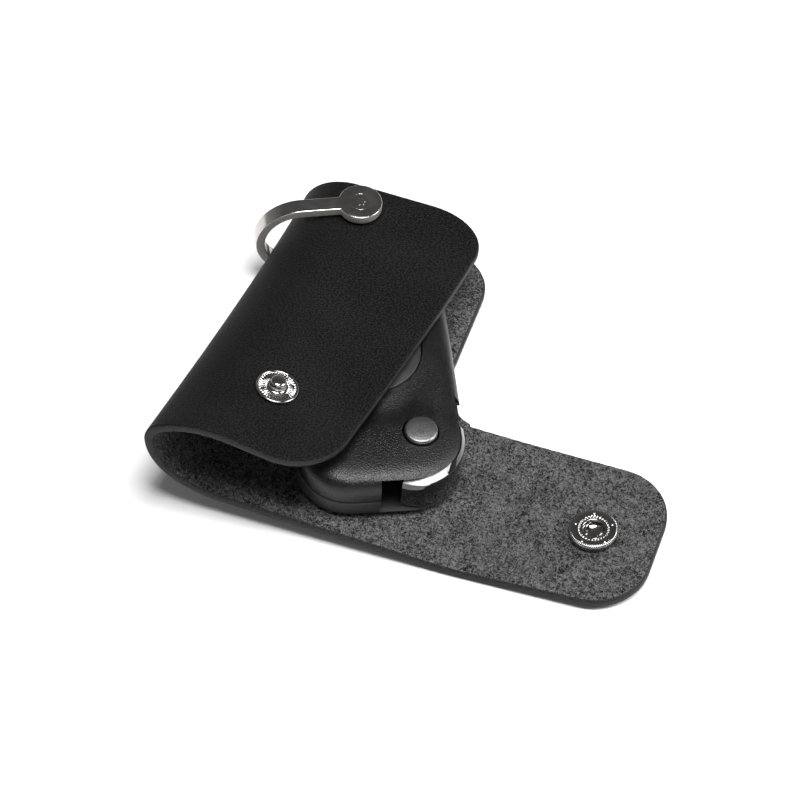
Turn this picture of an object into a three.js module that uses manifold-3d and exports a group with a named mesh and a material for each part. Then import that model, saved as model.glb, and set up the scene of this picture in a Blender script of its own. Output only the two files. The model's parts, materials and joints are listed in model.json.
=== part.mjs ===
// Leather key organiser: a folded leather wrap with a closing flap, a metal shackle with its post, a spring
// snap, and the flip key that hangs on the post. Millimetres, +Z up, origin under the middle of the part.
import * as THREE from "three";
import { mergeVertices } from "three/addons/utils/BufferGeometryUtils.js";
import Module from "manifold-3d";

const wasm = await Module();
wasm.setup();

// ---- Driving dimensions -------------------------------------------------------------------------------
const GAP = 0.3; // between touching pieces
const LEATHER = 2.6; // sheet thickness
const NEAR_Y = -50.45; // the sheet's two long edges
const FAR_Y = 50.45;
const TIP = { x: 64.06, z: 1.25 }; // grain side of the flap's tip
const FLAP_FAR_Y = -5.3; // the flap is narrower than the panels
const FLAP_TAPER = { near: 1.1, far: 1.7 }; // drawn in at the tip
const FLAP_CORNER = 14;
const FLAP_FILLET = 14; // inside corner between the flap and the back panel
const PANEL_CORNER = 13.5;
const LIFT_POWER = 1.25; // how quickly the sheet passes from its far section to its wider near one

// The sheet's two edge sections, from the flap's tip round to the front panel's edge. Each stretch is an
// arc: its length and turn at the near edge, then at the far edge.
const STRETCHES = {
  flap: { near: [40.3, 0], far: [40.3, 0] },
  tip_crease: { near: [6.8, -3.2], far: [6.8, -2.4] },
  side_crease: { near: [6.8, -3.2], far: [6.8, -2.4] },
  side: { near: [12.9, 0], far: [12.9, 0] },
  back: { near: [42.2, 0], far: [51, 0] },
  fold_low: { near: [11.9, -25], far: [3.5, -50] },
  fold_out: { near: [17.2, -60], far: [3.5, -50] },
  fold_over: { near: [8.3, -60], far: [10.2, -40] },
  fold_top: { near: [12.8, -30], far: [10.8, -40] },
  front_roll: { near: [8, -14], far: [8, 0] },
  front: { near: [23.6, 3], far: [30, 0] },
};
const TIP_HEADING = 181.6; // degrees: the sheet leaves the tip leftwards and slightly down

const POST = { x: -39.25, y: 40.9, lean: 3.2 }; // the shackle's screw post, which leans with the panels
const STACK = 18.2; // back panel's underside to front panel's top, at the post
const SHACKLE = { disc: 5.75, plate: 2.4, width: 4.3, reach: 27.6, turn: 206.5 };
const SCREW = { shank: 2, head: 3.4, headDepth: 0.9 };
const SLEEVE = { outer: 2.8, inner: 2.3 };

const SNAP = { stud: 5.5, socket: 6.2, socketHeight: 2.3, ball: 2.1, hole: 2.75, wire: 0.28 };
const STUD_FROM_EDGE = 21.6; // from the front edge, along the leather
const SOCKET_FROM_TIP = 16.45; // from the flap's tip
const SNAP_Y = -28.7;

const FOB = {
  x: -21.0, y: -3.6, z: 5.9, lean: 4, turn: 25,
  halfWidth: 21.5, top: 38.5, bottom: -41.2, thick: 13.4, split: 5.95, wall: 1.5,
};
const PIVOT = { u: 9.9, v: -25.4 }; // the flip blade's axis, under the release button
const HUB = { radius: 10.7, swing: 15.1, left: -5.7, low: 1.9, high: 12 }; // left is measured from the pivot
const BLADE = { left: 11.6, right: 19.6, tip: 30, low: 6.6, high: 8.8 };
const PIN = { v: 35.2, radius: 1.25 };
const RING = { inner: 8.8, outer: 10.4, height: 2.6, low: 5, abovePost: 9.25 };
const KEYPAD = { u: -1.2, v: 9.6, halfWidth: 14.4, halfLength: 21.4 };
const BUTTON_V = [22.5, 10.6, -1.3]; // lock, unlock and boot buttons

// ---- Solids -------------------------------------------------------------------------------------------
function signedVolume(geometry) {
  const p = geometry.attributes.position;
  const index = geometry.index.array;
  const [a, b, c] = [new THREE.Vector3(), new THREE.Vector3(), new THREE.Vector3()];
  let sum = 0;
  for (let i = 0; i < index.length; i += 3) {
    a.fromBufferAttribute(p, index[i]);
    b.fromBufferAttribute(p, index[i + 1]);
    c.fromBufferAttribute(p, index[i + 2]);
    sum += a.dot(b.cross(c));
  }
  return sum / 6;
}

// A closed geometry's bare solid: shared vertices merged and faces pointing out.
function bare(geometry) {
  const copy = geometry.clone();
  copy.deleteAttribute("normal");
  copy.deleteAttribute("uv");
  const merged = mergeVertices(copy, 1e-4);
  if (signedVolume(merged) < 0) merged.index.array.reverse();
  return merged;
}

function solidOf(geometry) {
  const g = bare(geometry);
  return new wasm.Manifold(new wasm.Mesh({
    numProp: 3,
    vertProperties: new Float32Array(g.attributes.position.array),
    triVerts: new Uint32Array(g.index.array),
  }));
}

function geometryOf(solid) {
  const mesh = solid.getMesh();
  const geometry = new THREE.BufferGeometry();
  geometry.setAttribute("position", new THREE.BufferAttribute(new Float32Array(mesh.vertProperties), 3));
  geometry.setIndex(new THREE.BufferAttribute(new Uint32Array(mesh.triVerts), 1));
  return geometry;
}

const joined = (first, ...rest) => geometryOf(rest.reduce((s, g) => s.add(solidOf(g)), solidOf(first)));
const cut = (first, ...rest) => geometryOf(rest.reduce((s, g) => s.subtract(solidOf(g)), solidOf(first)));
const common = (first, second) => geometryOf(solidOf(first).intersect(solidOf(second)));

// An upright cylinder from height low to high.
function cylinder(radius, low, high, x = 0, y = 0, sides = 20) {
  const g = new THREE.CylinderGeometry(radius, radius, high - low, sides);
  return g.rotateX(Math.PI / 2).translate(x, y, (low + high) / 2);
}

function block(x0, x1, y0, y1, z0, z1) {
  const g = new THREE.BoxGeometry(x1 - x0, y1 - y0, z1 - z0);
  return g.translate((x0 + x1) / 2, (y0 + y1) / 2, (z0 + z1) / 2);
}

// A body of revolution about +Z from [radius, height] pairs.
function turned(profile, sides = 24) {
  const points = profile.map(([r, z]) => new THREE.Vector2(r, z));
  return new THREE.LatheGeometry(points, sides).rotateX(Math.PI / 2);
}

function prism(shape, low, high, curveSegments = 6) {
  const g = new THREE.ExtrudeGeometry(shape, { depth: high - low, bevelEnabled: false, curveSegments });
  return g.translate(0, 0, low);
}

// A rectangle with its own radius at each corner: near left, near right, far right, far left.
function roundedOutline(x0, x1, y0, y1, radii) {
  const [nl, nr, fr, fl] = radii;
  const shape = new THREE.Shape();
  shape.moveTo(x0 + nl, y0).lineTo(x1 - nr, y0);
  shape.absarc(x1 - nr, y0 + nr, nr, -Math.PI / 2, 0);
  shape.absarc(x1 - fr, y1 - fr, fr, 0, Math.PI / 2);
  shape.absarc(x0 + fl, y1 - fl, fl, Math.PI / 2, Math.PI);
  shape.absarc(x0 + nl, y0 + nl, nl, Math.PI, 1.5 * Math.PI);
  return shape;
}

// A closed solid through one outline, drawn in by the given inset at each height.
function stacked(shape, levels, curveSegments = 6) {
  const outline = shape.getPoints(curveSegments);
  if (outline[0].distanceTo(outline[outline.length - 1]) < 1e-6) outline.pop();
  const count = outline.length;
  const outward = outline.map((_, i) => {
    const along = outline[(i + 1) % count].clone().sub(outline[(i + count - 1) % count]);
    return new THREE.Vector2(along.y, -along.x).normalize();
  });
  const rings = levels.map(([z, inset]) =>
    outline.map((p, i) => [p.x - outward[i].x * inset, p.y - outward[i].y * inset, z]));
  return skinned(rings);
}

// A closed solid through rings with the same number of points, capped by a fan at each end.
function skinned(rings) {
  const count = rings[0].length;
  const centre = (ring) => [0, 1, 2].map((k) => ring.reduce((sum, p) => sum + p[k], 0) / count);
  const positions = [...rings.flat(), centre(rings[0]), centre(rings.at(-1))];
  const first = rings.length * count;
  const faces = [];
  for (let i = 0; i < count; i++) {
    const j = (i + 1) % count;
    for (let k = 0; k + 1 < rings.length; k++) {
      const [a, b] = [k * count, (k + 1) * count];
      faces.push(a + i, a + j, b + j, a + i, b + j, b + i);
    }
    const last = (rings.length - 1) * count;
    faces.push(first, j, i, first + 1, last + i, last + j);
  }
  const geometry = new THREE.BufferGeometry();
  geometry.setAttribute("position", new THREE.Float32BufferAttribute(positions.flat(), 3));
  geometry.setIndex(faces);
  return geometry;
}

// ---- Materials and placing ----------------------------------------------------------------------------
const material = (color, roughness, metalness) =>
  new THREE.MeshStandardMaterial({ color, roughness, metalness });
const black = () => material(0x1c1c1d, 0.6, 0);
const steel = () => material(0x9a9898, 0.2, 1);
const plastic = () => material(0x232324, 0.5, 0);
const gloss = () => material(0x0c0c0d, 0.1, 0);

function piece(parent, name, geometry, finish) {
  const mesh = new THREE.Mesh(bare(geometry), finish);
  mesh.name = name;
  parent.add(mesh);
  return mesh;
}

const organiser = new THREE.Group();

// ---- The leather sheet --------------------------------------------------------------------------------
const radians = THREE.MathUtils.degToRad;

// Where each stretch starts at one edge: distance along the near edge, place and heading.
function stretchStarts(edge) {
  let [s, x, z, heading] = [0, TIP.x, TIP.z, radians(TIP_HEADING)];
  return Object.entries(STRETCHES).map(([name, stretch]) => {
    const [length, turn] = [stretch[edge][0], radians(stretch[edge][1])];
    const start = { name, s, x, z, heading, length, turn, nearLength: stretch.near[0] };
    const end = arcPoint(start, 1);
    s += stretch.near[0];
    [x, z, heading] = [end.x, end.z, end.heading];
    return start;
  });
}

// The point a share of the way along one stretch's arc.
function arcPoint(start, share) {
  const [length, turn] = [start.length * share, start.turn * share];
  const chord = Math.abs(turn) < 1e-9 ? length : (length * Math.sin(turn / 2)) / (turn / 2);
  const along = start.heading + turn / 2;
  return {
    x: start.x + chord * Math.cos(along),
    z: start.z + chord * Math.sin(along),
    heading: start.heading + turn,
  };
}

const EDGES = { near: stretchStarts("near"), far: stretchStarts("far") };
const startOf = (name) => EDGES.near.find((stretch) => stretch.name === name).s;
const SHEET_LENGTH = startOf("front") + STRETCHES.front.near[0];

function edgePoint(edge, s) {
  const start = EDGES[edge].findLast((stretch) => stretch.s <= s + 1e-9) ?? EDGES[edge][0];
  return arcPoint(start, (s - start.s) / start.nearLength);
}

// A point of the sheet, at distance s from the flap's tip, and depth under its grain side.
function sheetPoint(s, y, depth = 0) {
  const share = Math.max(0, (FAR_Y - y) / (FAR_Y - NEAR_Y)) ** LIFT_POWER;
  const [near, far] = [edgePoint("near", s), edgePoint("far", s)];
  const mix = (key) => far[key] + (near[key] - far[key]) * share;
  const heading = mix("heading");
  return new THREE.Vector3(mix("x") + depth * Math.sin(heading), y, mix("z") - depth * Math.cos(heading));
}

// The sheet's unit normal on its grain side.
function grainNormal(s, y) {
  const alongSheet = sheetPoint(s + 0.5, y).sub(sheetPoint(s - 0.5, y));
  const acrossSheet = sheetPoint(s, Math.min(y + 0.5, FAR_Y)).sub(sheetPoint(s, y - 0.5));
  return alongSheet.cross(acrossSheet).normalize();
}

// One zone of the sheet between two distances from the tip. limits(s) gives its edges in Y.
function sheetZone(distances, limits, columns = 4) {
  const rings = distances.map((s) => {
    const [low, high] = limits(s);
    const ys = Array.from({ length: columns + 1 }, (_, j) => low + ((high - low) * j) / columns);
    return [...ys.map((y) => sheetPoint(s, y, 0)), ...ys.reverse().map((y) => sheetPoint(s, y, LEATHER))];
  });
  const count = rings[0].length;
  const positions = rings.flat().flatMap((p) => [p.x, p.y, p.z]);
  const faces = [];
  for (let k = 0; k + 1 < rings.length; k++) {
    for (let i = 0; i < count; i++) {
      const [a, b, j] = [k * count, (k + 1) * count, (i + 1) % count];
      faces.push(a + i, a + j, b + j, a + i, b + j, b + i);
    }
  }
  for (let j = 0; j < columns; j++) {
    const [p, q, r, t] = [j, j + 1, count - 2 - j, count - 1 - j];
    const last = (rings.length - 1) * count;
    faces.push(p, t, r, p, r, q, last + p, last + r, last + t, last + p, last + q, last + r);
  }
  const geometry = new THREE.BufferGeometry();
  geometry.setAttribute("position", new THREE.Float32BufferAttribute(positions, 3));
  geometry.setIndex(faces);
  return geometry;
}

// How far a round corner draws an edge in, at a distance from the end.
const cornerInset = (distance, radius) =>
  distance < radius ? radius - Math.sqrt(radius ** 2 - (radius - distance) ** 2) : 0;

const evenly = (from, to, parts) => Array.from({ length: parts + 1 }, (_, i) => from + ((to - from) * i) / parts);

// Distances that follow a round corner closely where it is steepest.
const cornerSteps = (radius, parts = 6) =>
  Array.from({ length: parts }, (_, i) => radius * (1 - Math.cos((i * Math.PI) / 2 / parts)));

const CREASE_TIP = startOf("side_crease"); // where the flap bends over
const CREASE_SIDE = startOf("back"); // where the flap's side strip leaves the back panel

function flapZone() {
  const rows = [...cornerSteps(FLAP_CORNER), ...evenly(FLAP_CORNER, CREASE_TIP - GAP / 2, 7)];
  return sheetZone(rows, (s) => {
    const inset = cornerInset(s, FLAP_CORNER);
    const share = 1 - s / CREASE_TIP;
    return [NEAR_Y + inset + FLAP_TAPER.near * share, FLAP_FAR_Y - inset - FLAP_TAPER.far * share];
  });
}

function sideZone() {
  return sheetZone(evenly(CREASE_TIP + GAP / 2, CREASE_SIDE - GAP / 2, 8), (s) => [
    NEAR_Y,
    FLAP_FAR_Y + cornerInset(CREASE_SIDE - s, FLAP_FILLET),
  ]);
}

function backZone() {
  const end = startOf("fold_low") - GAP / 2;
  const corner = cornerSteps(PANEL_CORNER).map((d) => CREASE_SIDE + GAP / 2 + d);
  const rows = [...corner, ...evenly(CREASE_SIDE + GAP / 2 + PANEL_CORNER, end, 4)];
  return sheetZone(rows, (s) => [NEAR_Y, FAR_Y - cornerInset(s - CREASE_SIDE - GAP / 2, PANEL_CORNER)], 7);
}

function foldZone() {
  const rows = evenly(startOf("fold_low") + GAP / 2, startOf("front_roll") - GAP / 2, 24);
  return sheetZone(rows, () => [NEAR_Y, FAR_Y]);
}

function frontZone() {
  const corner = cornerSteps(PANEL_CORNER).map((d) => SHEET_LENGTH - d).reverse();
  const rows = [...evenly(startOf("front_roll") + GAP / 2, SHEET_LENGTH - PANEL_CORNER, 6), ...corner];
  return sheetZone(rows, (s) => {
    const inset = cornerInset(SHEET_LENGTH - s, PANEL_CORNER);
    return [NEAR_Y + inset, FAR_Y - inset];
  }, 7);
}

// A group whose own +Z leaves the sheet at (s, y): from its grain side, or from its flesh side.
function groupOnSheet(s, y, side) {
  const normal = grainNormal(s, y);
  const group = new THREE.Group();
  group.position.copy(sheetPoint(s, y, side === "grain" ? 0 : LEATHER));
  if (side === "flesh") normal.negate();
  group.quaternion.setFromUnitVectors(new THREE.Vector3(0, 0, 1), normal);
  organiser.add(group);
  group.updateMatrixWorld(true);
  return group;
}

const inGroup = (group, geometry) => geometry.applyMatrix4(group.matrixWorld);

function leather(post, stud, socket) {
  const postHole = () => inGroup(post, cylinder(SLEEVE.inner + 0.2, -3, 40));
  piece(organiser, "leather_flap", cut(flapZone(), inGroup(socket, cylinder(1.9, -5, 2))), black());
  piece(organiser, "leather_flap_side", sideZone(), black());
  piece(organiser, "leather_back_panel", cut(backZone(), postHole()), black());
  piece(organiser, "leather_fold", foldZone(), black());
  const front = cut(frontZone(), postHole(), inGroup(stud, cylinder(1.9, -5, 2)));
  piece(organiser, "leather_front_panel", front, black());
}

// ---- The shackle and its post -------------------------------------------------------------------------
function postGroup() {
  const group = new THREE.Group();
  const back = startOf("back");
  const steps = evenly(back, startOf("fold_low"), 400);
  const under = steps.find((s) => sheetPoint(s, POST.y).x <= POST.x);
  group.position.copy(sheetPoint(under, POST.y));
  group.rotation.y = radians(POST.lean);
  organiser.add(group);
  group.updateMatrixWorld(true);
  return group;
}

function shackleAndPost(group) {
  const low = -GAP;
  const high = STACK + 0.85;
  const outer = (high - low) / 2 + SHACKLE.plate;
  const bend = SHACKLE.reach - outer;
  const mid = (high + low) / 2;
  const strap = new THREE.Shape();
  strap.moveTo(0, mid - outer).lineTo(bend, mid - outer);
  strap.absarc(bend, mid, outer, -Math.PI / 2, Math.PI / 2);
  strap.lineTo(0, mid + outer).lineTo(0, mid + outer - SHACKLE.plate).lineTo(bend, high);
  strap.absarc(bend, mid, outer - SHACKLE.plate, Math.PI / 2, -Math.PI / 2, true);
  strap.lineTo(0, low);
  const band = prism(strap, -SHACKLE.width / 2, SHACKLE.width / 2, 10).rotateX(Math.PI / 2);
  const discs = [
    cylinder(SHACKLE.disc, high, high + SHACKLE.plate, 0, 0, 32),
    cylinder(SHACKLE.disc, low - SHACKLE.plate, low, 0, 0, 32),
  ];
  const headRoom = cylinder(SCREW.head + GAP, low - SHACKLE.plate - 1, low - SHACKLE.plate + SCREW.headDepth + GAP);
  const shankRoom = cylinder(SCREW.shank + 0.2, low - SHACKLE.plate, high + 1.3);
  const turn = new THREE.Group();
  turn.rotation.z = radians(SHACKLE.turn);
  group.add(turn);
  piece(turn, "shackle", cut(joined(band, ...discs), headRoom, shankRoom), steel());

  const slot = block(-5, 5, -0.45, 0.45, low - 3, low - SHACKLE.plate + 0.45);
  const head = cylinder(SCREW.head, low - SHACKLE.plate, low - SHACKLE.plate + SCREW.headDepth);
  const shank = cylinder(SCREW.shank, low - SHACKLE.plate, high + 1);
  piece(group, "shackle_screw", cut(joined(head, shank), slot), steel());
  const [bottom, top] = [LEATHER + GAP, STACK - LEATHER - 0.9];
  const sleeve = turned([
    [SLEEVE.inner, bottom], [SLEEVE.outer, bottom], [SLEEVE.outer, top], [SLEEVE.inner, top],
    [SLEEVE.inner, bottom],
  ]);
  piece(group, "post_sleeve", sleeve, steel());
}

// ---- The spring snap ----------------------------------------------------------------------------------
function snapStud(group) {
  const { stud, ball } = SNAP;
  piece(group, "snap_stud", turned([
    [1.2, GAP], [stud, GAP], [stud, 0.75], [stud - 0.6, 1.1], [ball + 0.4, 0.8], [ball - 0.45, 1.3],
    [ball - 0.4, 2.3], [ball, 2.65], [ball - 0.15, 3.05], [ball - 0.6, 3.35], [1.2, 3.35], [1.2, GAP],
  ], 20), steel());
  const under = -LEATHER - GAP;
  piece(group, "snap_stud_post", turned([
    [0, under - 0.8], [4.6, under - 0.8], [4.9, under - 0.4], [4.9, under], [0.9, under], [0.9, 2.6], [0, 2.6],
  ], 20), steel());
}

function snapSocket(group) {
  const { socket, socketHeight, hole, wire } = SNAP;
  piece(group, "snap_socket", turned([
    [hole, GAP + 0.5], [hole + 1.5, GAP + 0.5], [hole + 1.5, GAP], [socket - 0.3, GAP], [socket, 0.9],
    [socket, socketHeight - 0.4], [socket - 0.5, socketHeight], [hole + 0.4, socketHeight],
    [hole, socketHeight - 0.4], [hole, GAP + 0.5],
  ], 20), steel());
  const bow = (side) => Array.from({ length: 7 }, (_, i) => {
    const a = radians(-48 + 16 * i);
    return new THREE.Vector3(side * (hole - 0.42) * Math.cos(a) * 0.94, (hole - 0.42) * Math.sin(a), 1.55);
  });
  const section = new THREE.Shape().absarc(0, 0, wire, 0, 2 * Math.PI);
  for (const [name, side] of [["snap_spring_left", -1], ["snap_spring_right", 1]]) {
    const path = new THREE.CatmullRomCurve3(bow(side));
    const wireBody = new THREE.ExtrudeGeometry(section, { steps: 10, curveSegments: 4, extrudePath: path });
    piece(group, name, wireBody, steel());
  }
  const under = -LEATHER - 0.1;
  piece(group, "snap_cap", turned([
    [0, under - 0.65], [3.5, under - 0.58], [5.4, under - 0.35], [6.1, under], [1.3, under], [1.3, 0], [0, 0],
  ], 20), steel());
}

// ---- The flip key fob ---------------------------------------------------------------------------------
// The fob gets thinner towards its ring end: heights above the split are drawn down.
function tapered(geometry) {
  const p = geometry.attributes.position;
  for (let i = 0; i < p.count; i++) {
    const share = THREE.MathUtils.smoothstep(p.getY(i), -6, FOB.top);
    const above = p.getZ(i) - FOB.split;
    if (above > 0) p.setZ(i, FOB.split + above * (1 - 0.3 * share));
  }
  return geometry;
}

const fobOutline = (grow = 0) => roundedOutline(
  -FOB.halfWidth - grow, FOB.halfWidth + grow, FOB.bottom - grow, FOB.top + grow,
  [13.5, 15.5, 14, 14].map((r) => r + grow),
);

function fobShells(group) {
  const { split, thick, wall } = FOB;
  const outer = (levels) => stacked(fobOutline(), levels);
  const cavity = (low, high) => stacked(fobOutline(-wall), [[low, 0], [high, 0.8]], 4);
  const hubRoom = () => block(-1.5, 30, -50, -14.6, HUB.low - GAP, HUB.high + GAP);
  const sweepRoom = () => cylinder(HUB.swing + GAP, HUB.low - GAP, HUB.high + GAP, PIVOT.u, PIVOT.v, 28);
  const swept = () => common(sweepRoom(), block(-30, 30, FOB.bottom + wall, 30, 0, 20));
  const ringRoom = () => block(-30, 12.5, 29, 60, RING.low - 0.5, RING.low + RING.height + 0.5);
  const pinRoom = () => cylinder(PIN.radius + 0.2, 1.6, 9.2, 0, PIN.v, 12);

  const lower = cut(
    outer([[0, 2.4], [0.8, 0.6], [1.8, 0], [split - GAP / 2, 0]]),
    cavity(wall, 20), hubRoom(), swept(), cylinder(1.1, -1, 4, -14, -29, 12),
  );
  const ringEnd = () => common(stacked(fobOutline(-0.4), [[0.9, 0.6], [split - GAP / 2 - 0.001, 0]], 4),
    block(-30, 30, 27.5, 60, 0.9, split - GAP / 2));
  piece(group, "fob_lower_shell", cut(joined(lower, ringEnd()), ringRoom(), pinRoom(), hubRoom()), plastic());

  const shellTop = tapered(outer([
    [split + GAP / 2, 0], [8.2, 0], [10.6, 0.45], [12.3, 1.7], [13.1, 3.6], [thick, 6.5],
  ]));
  const padRoom = prism(keypadOutline(GAP), 5, 20);
  const upper = cut(
    shellTop, tapered(cavity(split, 12)), hubRoom(), swept(), padRoom,
    cylinder(4.75, 0, 20, PIVOT.u, PIVOT.v, 24),
    block(BLADE.left - 1, 30, -20, BLADE.tip + 2.2, BLADE.low - 0.5, BLADE.high + 0.6), ringRoom(),
  );
  const upperEnd = common(tapered(stacked(fobOutline(-0.4), [[split + GAP / 2, 0], [12, 1.4]], 4)),
    block(-30, 30, 30.2, 60, split, 12));
  piece(group, "fob_upper_shell", cut(joined(upper, upperEnd), ringRoom(), pinRoom(), padRoom), plastic());
  piece(group, "fob_ring_pin", cylinder(PIN.radius, 1.8, 9, 0, PIN.v, 12), steel());
  piece(group, "fob_case_screw", cylinder(0.85, 0.3, 4, -14, -29, 12), steel());
}

function keypadOutline(grow) {
  const { u, v, halfWidth, halfLength } = KEYPAD;
  const [w, l] = [halfWidth + grow, halfLength + grow];
  return roundedOutline(u - w, u + w, v - l, v + l, [w - 0.4, w - 0.4, w - 0.4, w - 0.4]);
}

const buttonOutline = (v, grow) => {
  const [w, l, r] = [8.6 + grow, 4.4 + grow, 4 + grow];
  return roundedOutline(KEYPAD.u - w, KEYPAD.u + w, v - l, v + l, [r, r, r, r]);
};

function fobKeypad(group) {
  const pad = tapered(stacked(keypadOutline(0), [[11.2, 0], [12.9, 0], [13.3, 0.5]]));
  piece(group, "fob_keypad", cut(pad, ...BUTTON_V.map((v) => prism(buttonOutline(v, GAP), 5, 20))), black());
  const names = ["fob_lock_button", "fob_unlock_button", "fob_boot_button"];
  names.forEach((name, i) => {
    const button = stacked(buttonOutline(BUTTON_V[i], 0), [[11.9, 0], [13.2, 0], [13.75, 0.6]]);
    piece(group, name, tapered(button), plastic());
  });
}

function fobInside(group) {
  const board = prism(roundedOutline(-18.6, 9.6, -9.5, 26, [3, 1, 6, 6]), 5.6, 6.6, 4);
  piece(group, "fob_circuit_board", board, material(0x1e5a35, 0.5, 0));
  piece(group, "fob_coin_battery", cylinder(8, 2.1, 4.7, -5, 12, 24), steel());
  piece(group, "battery_contact_low", block(-8, -2, 5, 24, 1.55, 1.8), steel());
  piece(group, "battery_contact_high", block(-7, -3, 6, 22, 4.95, 5.2), steel());

  const { u, v } = PIVOT;
  const hubShape = new THREE.Shape();
  hubShape.absarc(0, 0, HUB.radius, radians(-120), radians(62));
  hubShape.absarc(0, 0, 8.2, radians(75), radians(205));
  const hubCore = prism(hubShape, HUB.low, HUB.high, 12).translate(u, v, 0);
  const cheek = common(
    common(cylinder(HUB.swing, HUB.low, HUB.high, u, v, 40), prism(fobOutline(-0.3), HUB.low, HUB.high)),
    block(u + HUB.left, 40, -60, v + 2, HUB.low, HUB.high),
  );
  const hubBody = joined(hubCore, cheek);
  const bore = cylinder(5.1, HUB.low + 1.2, 20, u, v, 24);
  const root = block(BLADE.left - GAP, BLADE.right + GAP, v + 3, v + 20, BLADE.low - 0.2, BLADE.high + 0.2);
  piece(group, "blade_hub", cut(hubBody, bore, root), gloss());
  const blade = new THREE.Shape();
  const tipMid = (BLADE.left + BLADE.right) / 2;
  blade.moveTo(BLADE.left, v + 4).lineTo(BLADE.right, v + 4).lineTo(BLADE.right, BLADE.tip - 3.4);
  blade.lineTo(tipMid + 1, BLADE.tip).lineTo(tipMid - 1, BLADE.tip).lineTo(BLADE.left, BLADE.tip - 3.4);
  const groove = block(tipMid - 1.2, tipMid + 1.2, v + 16, BLADE.tip - 5, BLADE.high - 0.6, 12);
  piece(group, "key_blade", cut(prism(blade, BLADE.low, BLADE.high), groove), steel());

  const ring = (inner, outer, low, high) => turned([
    [inner, low], [outer, low], [outer, high], [inner, high], [inner, low],
  ], 20).translate(u, v, 0);
  piece(group, "blade_hub_spring", ring(3.4, 4.6, HUB.low + 1.5, HUB.low + 3.1), steel());
  piece(group, "release_button_spring", ring(1.6, 2.5, HUB.low + 1.5, HUB.low + 4.9), steel());
  const button = turned([
    [0, 7.2], [4.35, 7.2], [4.35, 14.2], [4.1, 14.6], [3.5, 14.85], [0, 14.85],
  ]).translate(u, v, 0);
  piece(group, "release_button", button, material(0x3c3d3e, 0.35, 0.6));
}

function keyRing(post) {
  const pin = new THREE.Vector3(0, PIN.v, 0).applyEuler(new THREE.Euler(0, 0, radians(FOB.turn)));
  const towards = Math.atan2(FOB.y + pin.y - POST.y, FOB.x + pin.x - POST.x);
  const out = (Math.hypot(FOB.y + pin.y - POST.y, FOB.x + pin.x - POST.x) + PIN.radius - SLEEVE.outer) / 2;
  const { inner, outer, height, abovePost: low } = RING;
  const ring = turned([
    [inner, low + 0.4], [inner + 0.4, low], [outer - 0.4, low], [outer, low + 0.4],
    [outer, low + height - 0.4], [outer - 0.4, low + height], [inner + 0.4, low + height],
    [inner, low + height - 0.4], [inner, low + 0.4],
  ], 32).translate(out * Math.cos(towards), out * Math.sin(towards), 0);
  piece(post, "key_ring", ring, steel());
}

function flipKey() {
  const lean = new THREE.Group();
  lean.position.set(FOB.x, FOB.y, FOB.z);
  lean.rotation.y = radians(FOB.lean);
  const group = new THREE.Group();
  group.rotation.z = radians(FOB.turn);
  lean.add(group);
  organiser.add(lean);
  fobShells(group);
  fobKeypad(group);
  fobInside(group);
}

const post = postGroup();
const stud = groupOnSheet(SHEET_LENGTH - STUD_FROM_EDGE, SNAP_Y, "grain");
const socket = groupOnSheet(SOCKET_FROM_TIP, SNAP_Y, "flesh");
leather(post, stud, socket);
shackleAndPost(post);
keyRing(post);
snapStud(stud);
snapSocket(socket);
flipKey();

export default organiser;
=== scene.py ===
"""Looks of the leather key organiser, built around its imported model. Lengths in the code are millimetres."""

import json
import math

import bmesh
import bpy
import numpy as np
from mathutils import Matrix, Vector


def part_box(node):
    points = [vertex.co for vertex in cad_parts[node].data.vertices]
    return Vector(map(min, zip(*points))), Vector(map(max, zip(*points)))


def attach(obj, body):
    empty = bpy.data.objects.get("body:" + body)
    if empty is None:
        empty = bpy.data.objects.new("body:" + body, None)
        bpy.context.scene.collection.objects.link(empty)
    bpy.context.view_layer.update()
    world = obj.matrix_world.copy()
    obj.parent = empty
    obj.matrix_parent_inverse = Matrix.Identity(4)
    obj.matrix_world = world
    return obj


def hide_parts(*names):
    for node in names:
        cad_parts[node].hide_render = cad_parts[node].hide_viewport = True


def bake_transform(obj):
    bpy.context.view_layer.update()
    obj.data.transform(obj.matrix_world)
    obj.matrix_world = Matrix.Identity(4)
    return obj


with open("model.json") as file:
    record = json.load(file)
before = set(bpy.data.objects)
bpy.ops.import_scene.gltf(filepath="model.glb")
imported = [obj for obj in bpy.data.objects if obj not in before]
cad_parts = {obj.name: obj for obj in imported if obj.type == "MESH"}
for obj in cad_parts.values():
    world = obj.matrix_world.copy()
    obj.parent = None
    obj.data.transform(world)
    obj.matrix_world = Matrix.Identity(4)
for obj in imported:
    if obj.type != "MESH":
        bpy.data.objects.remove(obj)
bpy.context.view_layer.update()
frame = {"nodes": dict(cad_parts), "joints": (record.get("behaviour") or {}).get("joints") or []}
MM = 0.001
AXIS = 0.001  # where a turned profile ends, on its axis
NODES = frame["nodes"]
JOINTS = {joint["name"]: joint for joint in frame["joints"]}

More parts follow.
